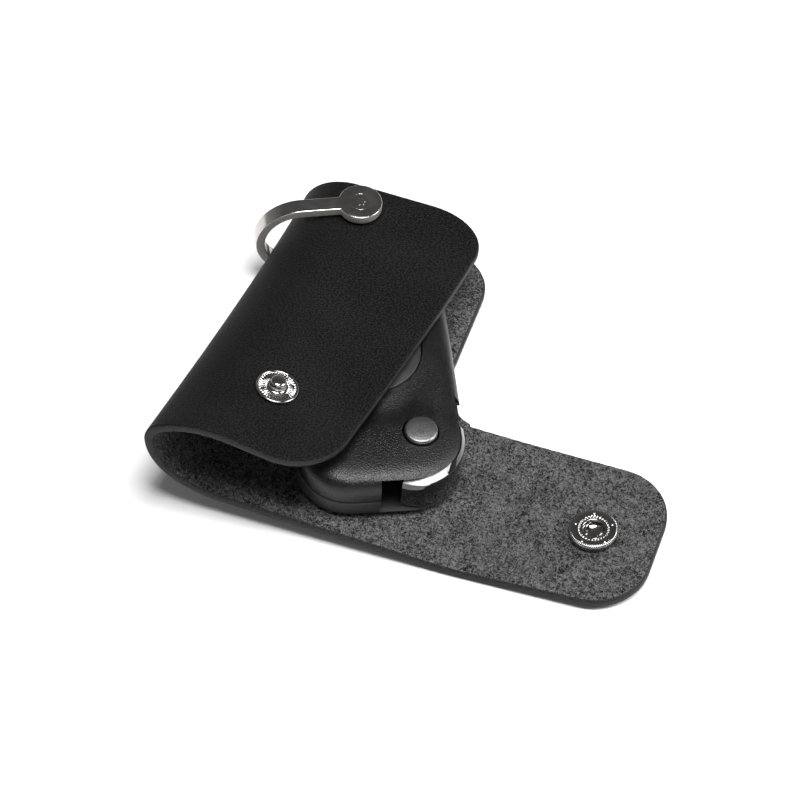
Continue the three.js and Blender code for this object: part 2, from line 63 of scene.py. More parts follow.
# ---- The leather sheet's own numbers ------------------------------------------------------------------
LEATHER = 2.6  # thickness
NEAR_Y, FAR_Y = -50.45, 50.45
TIP_X, TIP_Z, TIP_HEADING = 64.06, 1.25, 181.6  # the flap's free end
FLAP_FAR_Y, FLAP_CORNER, FLAP_FILLET, PANEL_CORNER = -5.3, 14, 14, 13.5
FLAP_TAPER = (1.1, 1.7)  # how much each side of the flap draws in at its tip
FLAP_END = 57  # where the flap's piece meets its side strip, about midway between the creases
LIFT_POWER = 1.25  # how the change from the far edge's bends to the near edge's is spread
SNAP_Y, STUD_FROM_EDGE, SOCKET_FROM_TIP = -28.7, 21.6, 16.45
STRETCHES = (  # length and turn at the near edge, then at the far edge
    ("flap", 40.3, 0, 40.3, 0),
    ("tip_crease", 6.8, -3.2, 6.8, -2.4),
    ("side_crease", 6.8, -3.2, 6.8, -2.4),
    ("side", 12.9, 0, 12.9, 0),
    ("back", 42.2, 0, 51, 0),
    ("fold_low", 11.9, -25, 3.5, -50),
    ("fold_out", 17.2, -60, 3.5, -50),
    ("fold_over", 8.3, -60, 10.2, -40),
    ("fold_top", 12.8, -30, 10.8, -40),
    ("front_roll", 8, -14, 8, 0),
    ("front", 23.6, 3, 30, 0),
)


def arc(x, z, heading, length, turn):
    """The point and heading at the end of an arc."""
    chord = length if abs(turn) < 1e-9 else length * math.sin(turn / 2) / (turn / 2)
    along = heading + turn / 2
    return x + chord * math.cos(along), z + chord * math.sin(along), heading + turn


def stretch_starts(column):
    s, x, z, heading = 0, TIP_X, TIP_Z, math.radians(TIP_HEADING)
    starts = []
    for stretch in STRETCHES:
        length, turn = stretch[column], math.radians(stretch[column + 1])
        starts.append((s, x, z, heading, length, turn, stretch[1]))
        x, z, heading = arc(x, z, heading, length, turn)
        s += stretch[1]
    return starts


EDGES = {"near": stretch_starts(1), "far": stretch_starts(3)}
START = {stretch[0]: start[0] for stretch, start in zip(STRETCHES, EDGES["near"])}
SHEET_LENGTH = START["front"] + STRETCHES[-1][1]
CREASE_TIP, CREASE_SIDE = START["side_crease"], START["back"]


def edge_point(edge, s):
    reached = [e for e in EDGES[edge] if e[0] <= s + 1e-9 or e[0] == 0]
    s0, x, z, heading, length, turn, near_length = reached[-1]
    share = (s - s0) / near_length
    return np.array(arc(x, z, heading, length * share, turn * share))


def sheet_point(s, y, depth=0.0):
    """A point of the sheet at distance s from the flap's tip, and depth under its grain side."""
    share = max(0.0, (FAR_Y - y) / (FAR_Y - NEAR_Y)) ** LIFT_POWER
    far = edge_point("far", s)
    x, z, heading = far + (edge_point("near", s) - far) * share
    return Vector((x + depth * math.sin(heading), y, z - depth * math.cos(heading)))


def grain_normal(s, y):
    along = sheet_point(s + 0.5, y) - sheet_point(s - 0.5, y)
    across = sheet_point(s, min(y + 0.5, FAR_Y)) - sheet_point(s, y - 0.5)
    return along.cross(across).normalized()


def place_on_sheet(s, y, side):
    """The transform whose +Z leaves the sheet at (s, y), from its grain side or its flesh side."""
    normal = grain_normal(s, y) * (1 if side == "grain" else -1)
    turn = Vector((0, 0, 1)).rotation_difference(normal).to_matrix().to_4x4()
    return Matrix.Translation(sheet_point(s, y, 0 if side == "grain" else LEATHER)) @ turn


def joint_place(name):
    """The transform whose +Z is a joint's axis, at the joint's point."""
    joint = JOINTS[name]
    axis = Vector(joint["axis"])
    turn = Vector((0, 0, 1)).rotation_difference(axis).to_matrix().to_4x4()
    return Matrix.Translation(Vector(joint["pos_m"]) / MM) @ turn


# ---- Materials ----------------------------------------------------------------------------------------
class Nodes:
    """A material's node tree, with short calls that add and link nodes."""

    def __init__(self, name, **constants):
        self.material = bpy.data.materials.new(name)
        self.material.use_nodes = True
        self.tree = self.material.node_tree
        self.shader = self.tree.nodes["Principled BSDF"]
        for socket, value in constants.items():
            self.shader.inputs[socket.replace("_", " ")].default_value = value

    def add(self, kind, inputs=None, **settings):
        node = self.tree.nodes.new("ShaderNode" + kind)
        for key, value in settings.items():
            setattr(node, key, value)
        for key, value in (inputs or {}).items():
            if hasattr(value, "is_output"):
                self.tree.links.new(value, node.inputs[key])
            else:
                node.inputs[key].default_value = value
        return node

    def set(self, socket, value):
        self.tree.links.new(value, self.shader.inputs[socket])

    def place(self, flat=False):
        """The surface's own coordinates in millimetres: flat sheet ones, or the object's."""
        source = self.add("TexCoord").outputs["UV" if flat else "Object"]
        scale = 1.0 if flat else 1 / MM
        return self.add("VectorMath", {0: source, "Scale": scale}, operation="SCALE").outputs[0]

    def noise(self, where, scale, detail=2.0, roughness=0.5, distortion=0.0):
        inputs = {"Vector": where, "Scale": scale, "Detail": detail}
        inputs.update({"Roughness": roughness, "Distortion": distortion})
        return self.add("TexNoise", inputs).outputs["Fac"]

    def math(self, operation, a, b=0.0):
        return self.add("Math", {0: a, 1: b}, operation=operation).outputs[0]

    def spread(self, value, low, high, to_low, to_high, smooth=True):
        inputs = {"Value": value, "From Min": low, "From Max": high, "To Min": to_low, "To Max": to_high}
        kind = "SMOOTHSTEP" if smooth else "LINEAR"
        return self.add("MapRange", inputs, interpolation_type=kind).outputs["Result"]

    def blend(self, fac, dark, light):
        ramp = self.add("ValToRGB", {"Fac": fac})
        ramp.color_ramp.elements[0].color = (*dark, 1)
        ramp.color_ramp.elements[1].color = (*light, 1)
        return ramp.outputs["Color"]

    def bump(self, height, distance, strength=1.0, under=None):
        inputs = {"Height": height, "Distance": distance * MM, "Strength": strength}
        if under is not None:
            inputs["Normal"] = under
        return self.add("Bump", inputs).outputs["Normal"]


def grey(value, warm=0.0):
    return (value * (1 + warm), value, value * (1 - warm))


def grain_leather():
    """Finely pebbled matt black leather, with painted highlights on its pebbles."""
    n = Nodes("grain_leather", Specular_IOR_Level=0.07)
    where = n.place(flat=True)
    pebbles = n.noise(where, 2.3, 1, 0.5)
    broad = n.noise(where, 0.05, 3, 0.5)
    tone = n.math("ADD", pebbles, n.math("MULTIPLY", broad, 0.15))
    # The pebbles' light dots in the base colour are painted highlights on the pebbles; the broad noise is the
    # leather's own uneven tone.
    n.set("Base Color", n.blend(n.spread(tone, 0.46, 0.74, 0, 1), grey(0.0003), grey(0.0155)))
    n.set("Roughness", n.spread(pebbles, 0.3, 0.7, 0.5, 0.7))
    n.set("Normal", n.bump(pebbles, 0.22, 1.0))
    return n.material


def suede():
    """The leather's napped flesh side: dark grey, mottled and fibrous."""
    n = Nodes("suede_flesh", Roughness=0.95, Specular_IOR_Level=0.1)
    where = n.place(flat=True)
    clumps = n.noise(where, 0.8, 1, 0.5, 1.5)
    fibres = n.noise(where, 2.1, 1, 0.6, 2.0)
    patches = n.noise(where, 0.13, 3, 0.55)
    mixed = n.math("ADD", n.math("MULTIPLY", clumps, 0.35), n.math("MULTIPLY", fibres, 0.65))
    mixed = n.math("ADD", mixed, n.math("MULTIPLY", patches, 0.14))
    n.set("Base Color", n.blend(n.spread(mixed, 0.44, 0.76, 0, 1), grey(0.0005), grey(0.17)))
    n.set("Normal", n.bump(mixed, 0.5, 1.0))
    return n.material


def cut_edge():
    """The leather's cut and painted edge, a little lighter than its faces."""
    n = Nodes("cut_edge", Specular_IOR_Level=0.2)
    where = n.place()
    fine = n.noise(where, 1.8, 3, 0.7)
    n.set("Base Color", n.blend(n.spread(fine, 0.35, 0.65, 0, 1), grey(0.004), grey(0.026)))
    n.set("Roughness", n.spread(fine, 0.3, 0.7, 0.5, 0.72))
    n.set("Normal", n.bump(fine, 0.1, 0.7))
    return n.material


def polished_metal(name, tone, warm=0.02, low=0.1, high=0.24, **constants):
    """Polished plated metal with faint hairlines and smudges."""
    n = Nodes(name, Metallic=1.0, **constants)
    where = n.place()
    smudges = n.noise(where, 0.22, 3, 0.6)
    stretched = n.add("VectorMath", {0: where, 1: (0.3, 4.0, 4.0)}, operation="MULTIPLY").outputs[0]
    scratches = n.noise(stretched, 1.0, 4, 0.7)
    pits = n.noise(where, 2.4, 2, 0.8)
    n.set("Base Color", n.blend(smudges, grey(tone * 0.85, warm), grey(tone, warm)))
    n.set("Roughness", n.spread(n.math("MULTIPLY", smudges, scratches), 0.12, 0.42, low, high))
    n.set("Normal", n.bump(n.math("ADD", scratches, n.math("MULTIPLY", pits, 0.6)), 0.012, 0.35))
    return n.material


def satin_metal(name, tone, warm, low, high, metallic=1.0):
    """Plated metal with a fine tumbled surface, as on an edge that was never buffed."""
    n = Nodes(name, Metallic=metallic)
    where = n.place()
    grains = n.noise(where, 2.2, 3, 0.8)
    n.set("Base Color", n.blend(n.spread(grains, 0.3, 0.7, 0, 1), grey(tone * 0.8, warm), grey(tone, warm)))
    n.set("Roughness", n.spread(grains, 0.3, 0.7, low, high))
    n.set("Normal", n.bump(grains, 0.05, 0.6))
    return n.material


def moulded_plastic(name, tone, low, high, texture=0.03, **constants):
    """Spark-eroded moulded plastic: a fine even texture and slight changes of gloss."""
    n = Nodes(name, **constants)
    where = n.place()
    fine = n.noise(where, 2.6, 1, 0.6)
    broad = n.noise(where, 0.12, 2, 0.5)
    mixed = n.math("ADD", n.math("MULTIPLY", fine, 0.6), n.math("MULTIPLY", broad, 0.4))
    n.set("Base Color", n.blend(n.spread(mixed, 0.35, 0.65, 0, 1), grey(tone * 0.7), grey(tone * 1.3)))
    n.set("Roughness", n.spread(mixed, 0.35, 0.65, low, high))
    n.set("Normal", n.bump(fine, texture, 0.8))
    return n.material


GRAIN, FLESH, EDGE = grain_leather(), suede(), cut_edge()
NICKEL = polished_metal("dark_nickel", 0.5, warm=0.04)
SATIN_NICKEL = satin_metal("satin_nickel", 0.5, 0.06, 0.3, 0.5, metallic=0.6)
SNAP_NICKEL = polished_metal("snap_nickel", 0.4, low=0.08, high=0.16)
PLAIN_STEEL = polished_metal("plain_steel", 0.5, low=0.22, high=0.38)
BLADE_STEEL = polished_metal("blade_steel", 0.58, low=0.2, high=0.34)
SHELL = moulded_plastic("shell_plastic", 0.0025, 0.28, 0.4, texture=0.16, Specular_IOR_Level=0.38)
LOW_SHELL = moulded_plastic("lower_shell_plastic", 0.014, 0.42, 0.56, texture=0.05)
PAD = moulded_plastic("keypad_rubber", 0.006, 0.5, 0.66)
BUTTON = moulded_plastic("button_plastic", 0.009, 0.4, 0.52)
GLOSS = moulded_plastic("piano_black", 0.003, 0.03, 0.09, texture=0.002, Coat_Weight=0.8, Coat_Roughness=0.03)
RELEASE = satin_metal("release_satin_metal", 0.2, 0.0, 0.3, 0.42)
# Light metal for the hub's chamfer: a painted highlight along the hub's top edge.
HUB_BEVEL_HIGHLIGHT = satin_metal("hub_bevel_painted_highlight", 0.5, 0.0, 0.45, 0.6)
BOARD = moulded_plastic("circuit_board_lacquer", 0.02, 0.3, 0.45)


# ---- Meshes -------------------------------------------------------------------------------------------
def mesh_piece(name, points, faces, materials, place=None, face_slots=None, sharp=38):
    """A new object from points in millimetres and faces."""
    place = place or Matrix.Identity(4)
    mesh = bpy.data.meshes.new(name)
    mesh.from_pydata([tuple((place @ Vector(p)) * MM) for p in points], [], faces)
    mesh.validate()
    if face_slots is not None:
        mesh.polygons.foreach_set("material_index", face_slots)
    for material in materials:
        mesh.materials.append(material)
    obj = bpy.data.objects.new(name, mesh)
    bpy.context.scene.collection.objects.link(obj)
    outward(mesh)
    mesh.shade_smooth()
    mesh.set_sharp_from_angle(angle=math.radians(sharp))
    return obj


def outward(mesh):
    bm = bmesh.new()
    bm.from_mesh(mesh)
    bmesh.ops.recalc_face_normals(bm, faces=bm.faces)
    bm.to_mesh(mesh)
    bm.free()


def ring_faces(rings, closed=True, capped=True, first=0):
    """Quads between rings of equal length, with end faces unless the last ring is the first one again."""
    count = len(rings[0])
    faces = []
    for k in range(len(rings) - 1):
        for i in range(count if closed else count - 1):
            a, b, j = first + k * count, first + (k + 1) * count, (i + 1) % count
            faces.append((a + i, a + j, b + j, b + i))
    if capped and tuple(rings[0][0]) != tuple(rings[-1][0]):
        last = first + (len(rings) - 1) * count
        faces.append(tuple(range(first + count - 1, first - 1, -1)))
        faces.append(tuple(range(last, last + count)))
    return faces


def skinned(name, rings, materials, place=None, **options):
    points = [p for ring in rings for p in ring]
    return mesh_piece(name, points, ring_faces(rings), materials, place, **options)


def lathe_rings(profile, sides, shape=None):
    """Rings about +Z from (radius, height) pairs.

    shape(angle, i) may change the i-th pair around the turn.
    """
    rings = []
    for i, (radius, height) in enumerate(profile):
        ring = []
        for k in range(sides):
            angle = 2 * math.pi * k / sides
            dr, dz = shape(angle, i) if shape else (0, 0)
            ring.append(((radius + dr) * math.cos(angle), (radius + dr) * math.sin(angle), height + dz))
        rings.append(ring)
    return rings


def lathe(name, profile, materials, place=None, sides=96, shape=None, **options):
    return skinned(name, lathe_rings(profile, sides, shape), materials, place, **options)


def tube_rings(path, radius, sides=12):
    """Rings of a round wire along a path of points."""
    path = [Vector(p) for p in path]
    rings = []
    side = None
    for i, point in enumerate(path):
        along = (path[min(i + 1, len(path) - 1)] - path[max(i - 1, 0)]).normalized()
        if side is None:
            side = along.orthogonal().normalized()
        side = (side - along * side.dot(along)).normalized()
        up = along.cross(side)
        turns = [2 * math.pi * k / sides for k in range(sides)]
        rings.append([point + side * (radius * math.cos(t)) + up * (radius * math.sin(t)) for t in turns])
    return rings


def merged(name, groups, materials, place=None, slots=None, **options):
    """One object from several lists of rings."""
    points, faces, face_slots = [], [], []
    for g, rings in enumerate(groups):
        new = ring_faces(rings, first=len(points))
        faces += new
        face_slots += [slots[g] if slots else 0] * len(new)
        points += [p for ring in rings for p in ring]
    return mesh_piece(name, points, faces, materials, place, face_slots, **options)


def subtract(obj, *cutters, sharp=34):
    """Cuts the cutters out of obj and removes them."""
    for cutter in cutters:
        modifier = obj.modifiers.new("cut", "BOOLEAN")
        modifier.object, modifier.operation, modifier.solver = cutter, "DIFFERENCE", "EXACT"
    bpy.context.view_layer.update()
    result = bpy.data.meshes.new_from_object(obj.evaluated_get(bpy.context.evaluated_depsgraph_get()))
    obj.modifiers.clear()
    obj.data = result
    for cutter in cutters:
        bpy.data.objects.remove(cutter)
    result.shade_smooth()
    result.set_sharp_from_angle(angle=math.radians(sharp))
    return obj


def rides(obj, body, slot, *nodes):
    """Puts a finished piece on its body, in place of CAD nodes."""
    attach(obj, body)
    if nodes:
        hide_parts(*nodes)
    return obj


def box_cutter(x0, x1, y0, y1, z0, z1, place):
    points = [(x, y, z) for z in (z0, z1) for x, y in ((x0, y0), (x1, y0), (x1, y1), (x0, y1))]
    return skinned("cutter", [points[:4], points[4:]], [], place)


# ---- The leather pieces -------------------------------------------------------------------------------
def corner_inset(distance, radius):
    return radius - math.sqrt(radius**2 - (radius - distance) ** 2) if distance < radius else 0.0


def smooth(value):
    value = min(1.0, max(0.0, value))
    return value * value * (3 - 2 * value)


def corner_rows(radius, inset, parts=12):
    """Distances past a round corner's end, for an outline drawn in by inset."""
    return [radius - (radius - inset) * math.cos(i * math.pi / 2 / parts) for i in range(parts)]


def evenly(low, high, parts):
    return [low + (high - low) * i / parts for i in range(parts + 1)]


def flap_rows(inset):
    """The flap: rounded at its tip, joined to its side strip at the other end."""
    distances = corner_rows(FLAP_CORNER, inset) + evenly(FLAP_CORNER, FLAP_END, 44)
    rows = []
    for i, s in enumerate(distances):
        turn = corner_inset_of(FLAP_CORNER, inset, i)
        share = max(0.0, 1 - s / CREASE_TIP)
        rows.append((s, NEAR_Y + turn + FLAP_TAPER[0] * share, FLAP_FAR_Y - turn - FLAP_TAPER[1] * share))
    return rows


def corner_inset_of(radius, inset, i, parts=12):
    """How far the outline, drawn in by inset, lies inside the sheet's side at a corner's i-th row."""
    if i >= parts:
        return inset
    return radius - (radius - inset) * math.sin(i * math.pi / 2 / parts)


def side_rows(inset):
    """The flap's side strip, which widens into the back panel."""
    rows = []
    for s in evenly(FLAP_END, CREASE_SIDE, 26):
        rows.append((s, NEAR_Y + inset, FLAP_FAR_Y + corner_inset(CREASE_SIDE - s, FLAP_FILLET) - inset))
    return rows


def wrap_rows(inset):
    """The back panel, the fold and the front panel, from the flap's crease round to the free edge."""
    parts = 14
    rows = []
    first = corner_rows(PANEL_CORNER, inset, parts)
    for i, d in enumerate(first):
        turn = corner_inset_of(PANEL_CORNER, inset, i, parts)
        rows.append((CREASE_SIDE + d, NEAR_Y + inset, FAR_Y - turn))
    middle = evenly(CREASE_SIDE + PANEL_CORNER, START["fold_low"], 16)
    middle += evenly(START["fold_low"], START["front_roll"], 90)[1:]
    middle += evenly(START["front_roll"], SHEET_LENGTH - PANEL_CORNER, 26)[1:]
    rows += [(s, NEAR_Y + inset, FAR_Y - inset) for s in middle]
    for i, d in reversed(list(enumerate(corner_rows(PANEL_CORNER, inset, parts)))):
        turn = corner_inset_of(PANEL_CORNER, inset, i, parts)
        rows.append((SHEET_LENGTH - d, NEAR_Y + turn, FAR_Y - turn))
    return rows


ROUNDING = ((0.95, 0.0), (0.5, 0.04), (0.16, 0.2), (0.0, 0.55))  # inset and depth of the edge's rounding
LEVELS = ROUNDING + ((0.0, 1.3),) + tuple((inset, LEATHER - depth) for inset, depth in reversed(ROUNDING))


def wrinkle(s, y):
    """Small hand-made waviness of the flesh side's edge, in millimetres."""
    return 0.05 * math.sin(1.7 * s + 0.6 * y) + 0.04 * math.sin(0.9 * y - 2.3 * s)


def leather_piece(name, rows_at, columns, hold_end=None):
    """A stretch of the sheet with rounded cut edges.

    hold_end(y) is 0 where its first row joins the next piece.
    """
    grids = []
    for inset, depth in LEVELS:
        rows = rows_at(inset)
        grid = []
        for k, (s, low, high) in enumerate(rows):
            line = []
            for j in range(columns + 1):
                y = low + (high - low) * j / columns
                sj = s
                if hold_end and k == 0:
                    sj = CREASE_SIDE + (s - CREASE_SIDE) * hold_end(y)
                line.append((sj, y, depth))
            grid.append(line)
        grids.append(grid)
    points, flat, faces, slots = [], [], [], []
    index = {}

    def vertex(level, k, j):
        key = (level, k, j)
        if key not in index:
            s, y, depth = grids[level][k][j]
            depth += wrinkle(s, y) if 1.2 < depth < LEATHER - 0.1 else 0
            index[key] = len(points)
            points.append(sheet_point(s, y, depth))
            flat.append((s, y))
        return index[key]

    rows, last = len(grids[0]), len(LEVELS) - 1
    for level, slot in ((0, 0), (last, 1)):
        for k in range(rows - 1):
            for j in range(columns):
                corners = ((k, j), (k, j + 1), (k + 1, j + 1), (k + 1, j))
                faces.append([vertex(level, *corner) for corner in corners])
                slots.append(slot)
    rim = [(0, j) for j in range(columns)] + [(k, columns) for k in range(rows - 1)]
    rim += [(rows - 1, j) for j in range(columns, 0, -1)] + [(k, 0) for k in range(rows - 1, 0, -1)]
    # Round the rim, the rounding of each face looks like that face, and the band between is the cut edge.
    for level in range(last):
        slot = 0 if level < 2 else 2 if level < last - 1 else 1
        for (k, j), (k2, j2) in zip(rim, rim[1:] + rim[:1]):
            corners = ((level, k, j), (level, k2, j2), (level + 1, k2, j2), (level + 1, k, j))
            faces.append([vertex(*corner) for corner in corners])
            slots.append(slot)
    obj = mesh_piece(name, points, faces, [GRAIN, FLESH, EDGE], face_slots=slots, sharp=60)
    layer = obj.data.uv_layers.new(name="flat")
    for loop in obj.data.loops:
        layer.data[loop.index].uv = flat[loop.vertex_index]
    return obj


def bend(obj, first, second, start, end, *nodes):
    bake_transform(obj)
    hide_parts(*nodes)


wrap = leather_piece("leather_wrap", wrap_rows, 60, hold_end=lambda y: smooth((y - 7.5) / 2.5))
bend(wrap, "wrap", "front_cover", (0, 0, 8), (0, 0, 16),
     "leather_back_panel", "leather_fold", "leather_front_panel")
strip = leather_piece("leather_flap_strip", side_rows, 34)
bend(strip, "wrap", "flap_side", (-2.5, 0, 4), (3.0, 0, 4), "leather_flap_side")
flap = leather_piece("leather_closing_flap", flap_rows, 34)
bend(flap, "flap_side", "flap", (13.8, 0, 3), (20.2, 0, 3), "leather_flap")


# ---- The shackle and its post -------------------------------------------------------------------------
POST_POINT = 10  # height of the swivel's point above the underside of the stack of leather
POST = joint_place("shackle_swivel") @ Matrix.Translation((0, 0, -POST_POINT))
STACK, PLATE, DISC, STRAP, REACH = 18.2, 2.4, 5.75, 4.3, 27.6
DISC_LOW, DISC_HIGH = -0.3, STACK + 0.85  # the discs' inner faces
SHACKLE_TURN = math.radians(206.5)


def shackle():
    """Two round discs joined by one strap that bends round at its far end."""
    low, high = DISC_LOW, DISC_HIGH
    outer = (high - low) / 2 + PLATE
    bend_x, middle = REACH - outer, (high + low) / 2
    fillet = 0.7
    levels = [(0.3, 0.0), (0.13, 0.04), (0.04, 0.13), (0.0, 0.3), (0.0, PLATE / 2)]
    levels += [(inset, PLATE - depth) for inset, depth in reversed(levels[:-1])]

    def outline(inset):
        """From the strap's end on one side, round the disc, to its end on the other side."""
        radius, half, curve = DISC - inset, STRAP / 2 - inset, fillet + inset
        cx = math.sqrt((radius + curve) ** 2 - (half + curve) ** 2)
        meet = math.atan2(half + curve, cx)
        side = [(bend_x + (cx - bend_x) * i / 8, half) for i in range(8)]
        for t in evenly(0, math.pi / 2 - meet, 6):
            side.append((cx - curve * math.sin(t), half + curve - curve * math.cos(t)))
        turns = evenly(meet, 2 * math.pi - meet, 72)[1:-1]
        disc = [(radius * math.cos(t), radius * math.sin(t)) for t in turns]
        return side + disc + [(x, -y) for x, y in reversed(side)]

    outlines = [outline(inset) for inset, _ in levels]
    count = len(outlines[0])
    points, faces = [], []
    for z0, up in ((high, 1), (low, -1)):
        first = len(points)
        for ring, (_, z) in zip(outlines, levels):
            points += [(x, y, z0 + up * (PLATE - z)) for x, y in ring]
        for k in range(len(levels) - 1):
            for i in range(count - 1):
                a = first + k * count + i
                faces.append((a, a + 1, a + 1 + count, a + count))
        for k in (0, len(levels) - 1):
            start = first + k * count
            for i in range(count // 2 - 1):
                faces.append((start + i, start + i + 1, start + count - 2 - i, start + count - 1 - i))
    section = [(STRAP / 2 - inset, z) for inset, z in levels]
    section += [(-w, z) for w, z in reversed(section)]
    first = len(points)
    sweeps = 28
    for i in range(sweeps + 1):
        t = math.pi / 2 - math.pi * i / sweeps
        for w, z in section:
            radius = outer - z
            points.append((bend_x + radius * math.cos(t), w, middle + radius * math.sin(t)))
    for i in range(sweeps):
        for k in range(len(section)):
            a, b, j = first + i * len(section), first + (i + 1) * len(section), (k + 1) % len(section)
            faces.append((a + k, a + j, b + j, b + k))
    place = POST @ Matrix.Rotation(SHACKLE_TURN, 4, "Z")
    obj = mesh_piece("shackle_body", points, faces, [NICKEL, SATIN_NICKEL], place, sharp=45)
    bm = bmesh.new()
    bm.from_mesh(obj.data)
    bmesh.ops.remove_doubles(bm, verts=bm.verts, dist=0.002 * MM)
    bmesh.ops.recalc_face_normals(bm, faces=bm.faces)
    bm.to_mesh(obj.data)
    bm.free()
    flat = POST.to_3x3() @ Vector((0, 0, 1))
    across = (place.to_3x3() @ Vector((0, 1, 0))).normalized()
    # The strap's sides, and the small faces round the discs, are satin.
    for face in obj.data.polygons:
        on_strap = abs(face.normal.dot(across)) > 0.95
        on_disc = abs(face.normal.dot(flat)) < 0.3 and abs(face.area) < 4e-6
        near_disc = (place.inverted() @ (face.center / MM)).x < 8
        face.material_index = 1 if on_strap or (on_disc and near_disc) else 0
    obj.data.shade_smooth()
    obj.data.set_sharp_from_angle(angle=math.radians(45))
    modifier = obj.modifiers.new("even_shading", "WEIGHTED_NORMAL")
    modifier.keep_sharp = True
    return rides(obj, "shackle", "polished_steel", "shackle")


shackle()
top = DISC_HIGH + PLATE
# A plain stamped mark: a ring and three short bars.
mark = [lathe_rings([(2.55, -0.1), (2.6, 0.03), (2.72, 0.07), (2.84, 0.03), (2.9, -0.1)], 64)]
for x in (-0.85, 0.0, 0.85):
    half = 1.35 if x == 0 else 0.85
    mark.append([[(x + w * k, half * v, z) for w, v in ((-1, -1), (1, -1), (1, 1), (-1, 1))]
                 for z, k in ((-0.1, 0.22), (0.04, 0.2), (0.07, 0.14))])
stamp_place = POST @ Matrix.Rotation(SHACKLE_TURN + 0.5, 4, "Z") @ Matrix.Translation((0, 0, top))
stamp = merged("shackle_stamp", mark, [NICKEL], stamp_place)
rides(stamp, "shackle", "polished_steel")

head_low = DISC_LOW - PLATE
screw = [
    (AXIS, head_low), (0.9, head_low), (2.9, head_low), (3.25, head_low + 0.1), (3.4, head_low + 0.35),
    (3.4, head_low + 0.9), (2.0, head_low + 0.9), (2.0, STACK + 1.8), (AXIS, STACK + 1.8),
]
slotted = lathe("post_screw", screw, [NICKEL], POST, sides=64)
subtract(slotted, box_cutter(-6, 6, -0.45, 0.45, head_low - 1, head_low + 0.45, POST))
rides(slotted, "wrap", "polished_steel", "shackle_screw")
low, high = LEATHER + 0.3, STACK - LEATHER - 0.9
sleeve = [
    (2.3, low), (2.65, low), (2.8, low + 0.15), (2.8, high - 0.15), (2.65, high), (2.3, high), (2.3, low),
]
rides(lathe("post_tube", sleeve, [NICKEL], POST, sides=64), "wrap", "polished_steel", "post_sleeve")


# ---- The spring snap ----------------------------------------------------------------------------------
def snap_stud():
    place = place_on_sheet(SHEET_LENGTH - STUD_FROM_EDGE, SNAP_Y, "grain")
    ribs = 36
    profile = [
        (AXIS, 0.35), (4.6, 0.3), (5.35, 0.3), (5.48, 0.42), (5.5, 0.62), (5.42, 0.84), (5.25, 0.97),
        (5.05, 0.95), (4.92, 0.82), (4.85, 0.7), (4.7, 0.74), (4.3, 0.82), (3.8, 0.86), (3.3, 0.84),
        (2.9, 0.76), (2.6, 0.68), (2.25, 0.72), (1.95, 0.95), (1.72, 1.35), (1.66, 1.8), (1.66, 2.2),
        (1.82, 2.38), (2.02, 2.56), (2.04, 2.84), (1.86, 3.1), (1.5, 3.26), (1.0, 3.33), (0.5, 3.35),
        (AXIS, 3.35),
    ]
    ribbed = {10: 0.07, 11: 0.13, 12: 0.14, 13: 0.13, 14: 0.07}  # the grooves' depth at profile points

    def fluted(angle, i):
        return 0, ribbed.get(i, 0) * (math.cos(ribs * angle) - 1)

    piece = lathe("snap_stud_ribbed", profile, [SNAP_NICKEL], place, sides=ribs * 8, shape=fluted, sharp=60)
    rides(piece, "front_cover", "snap_metal", "snap_stud")
    under = -LEATHER - 0.3
    eyelet = [
        (AXIS, under - 0.55), (0.8, under - 0.6), (1.2, under - 0.8), (3.2, under - 0.8),
        (4.4, under - 0.65), (4.85, under - 0.35), (4.9, under), (0.9, under), (0.9, 2.4), (AXIS, 2.4),
    ]
    post = lathe("snap_stud_eyelet", eyelet, [SNAP_NICKEL], place)
    rides(post, "front_cover", "snap_metal", "snap_stud_post")


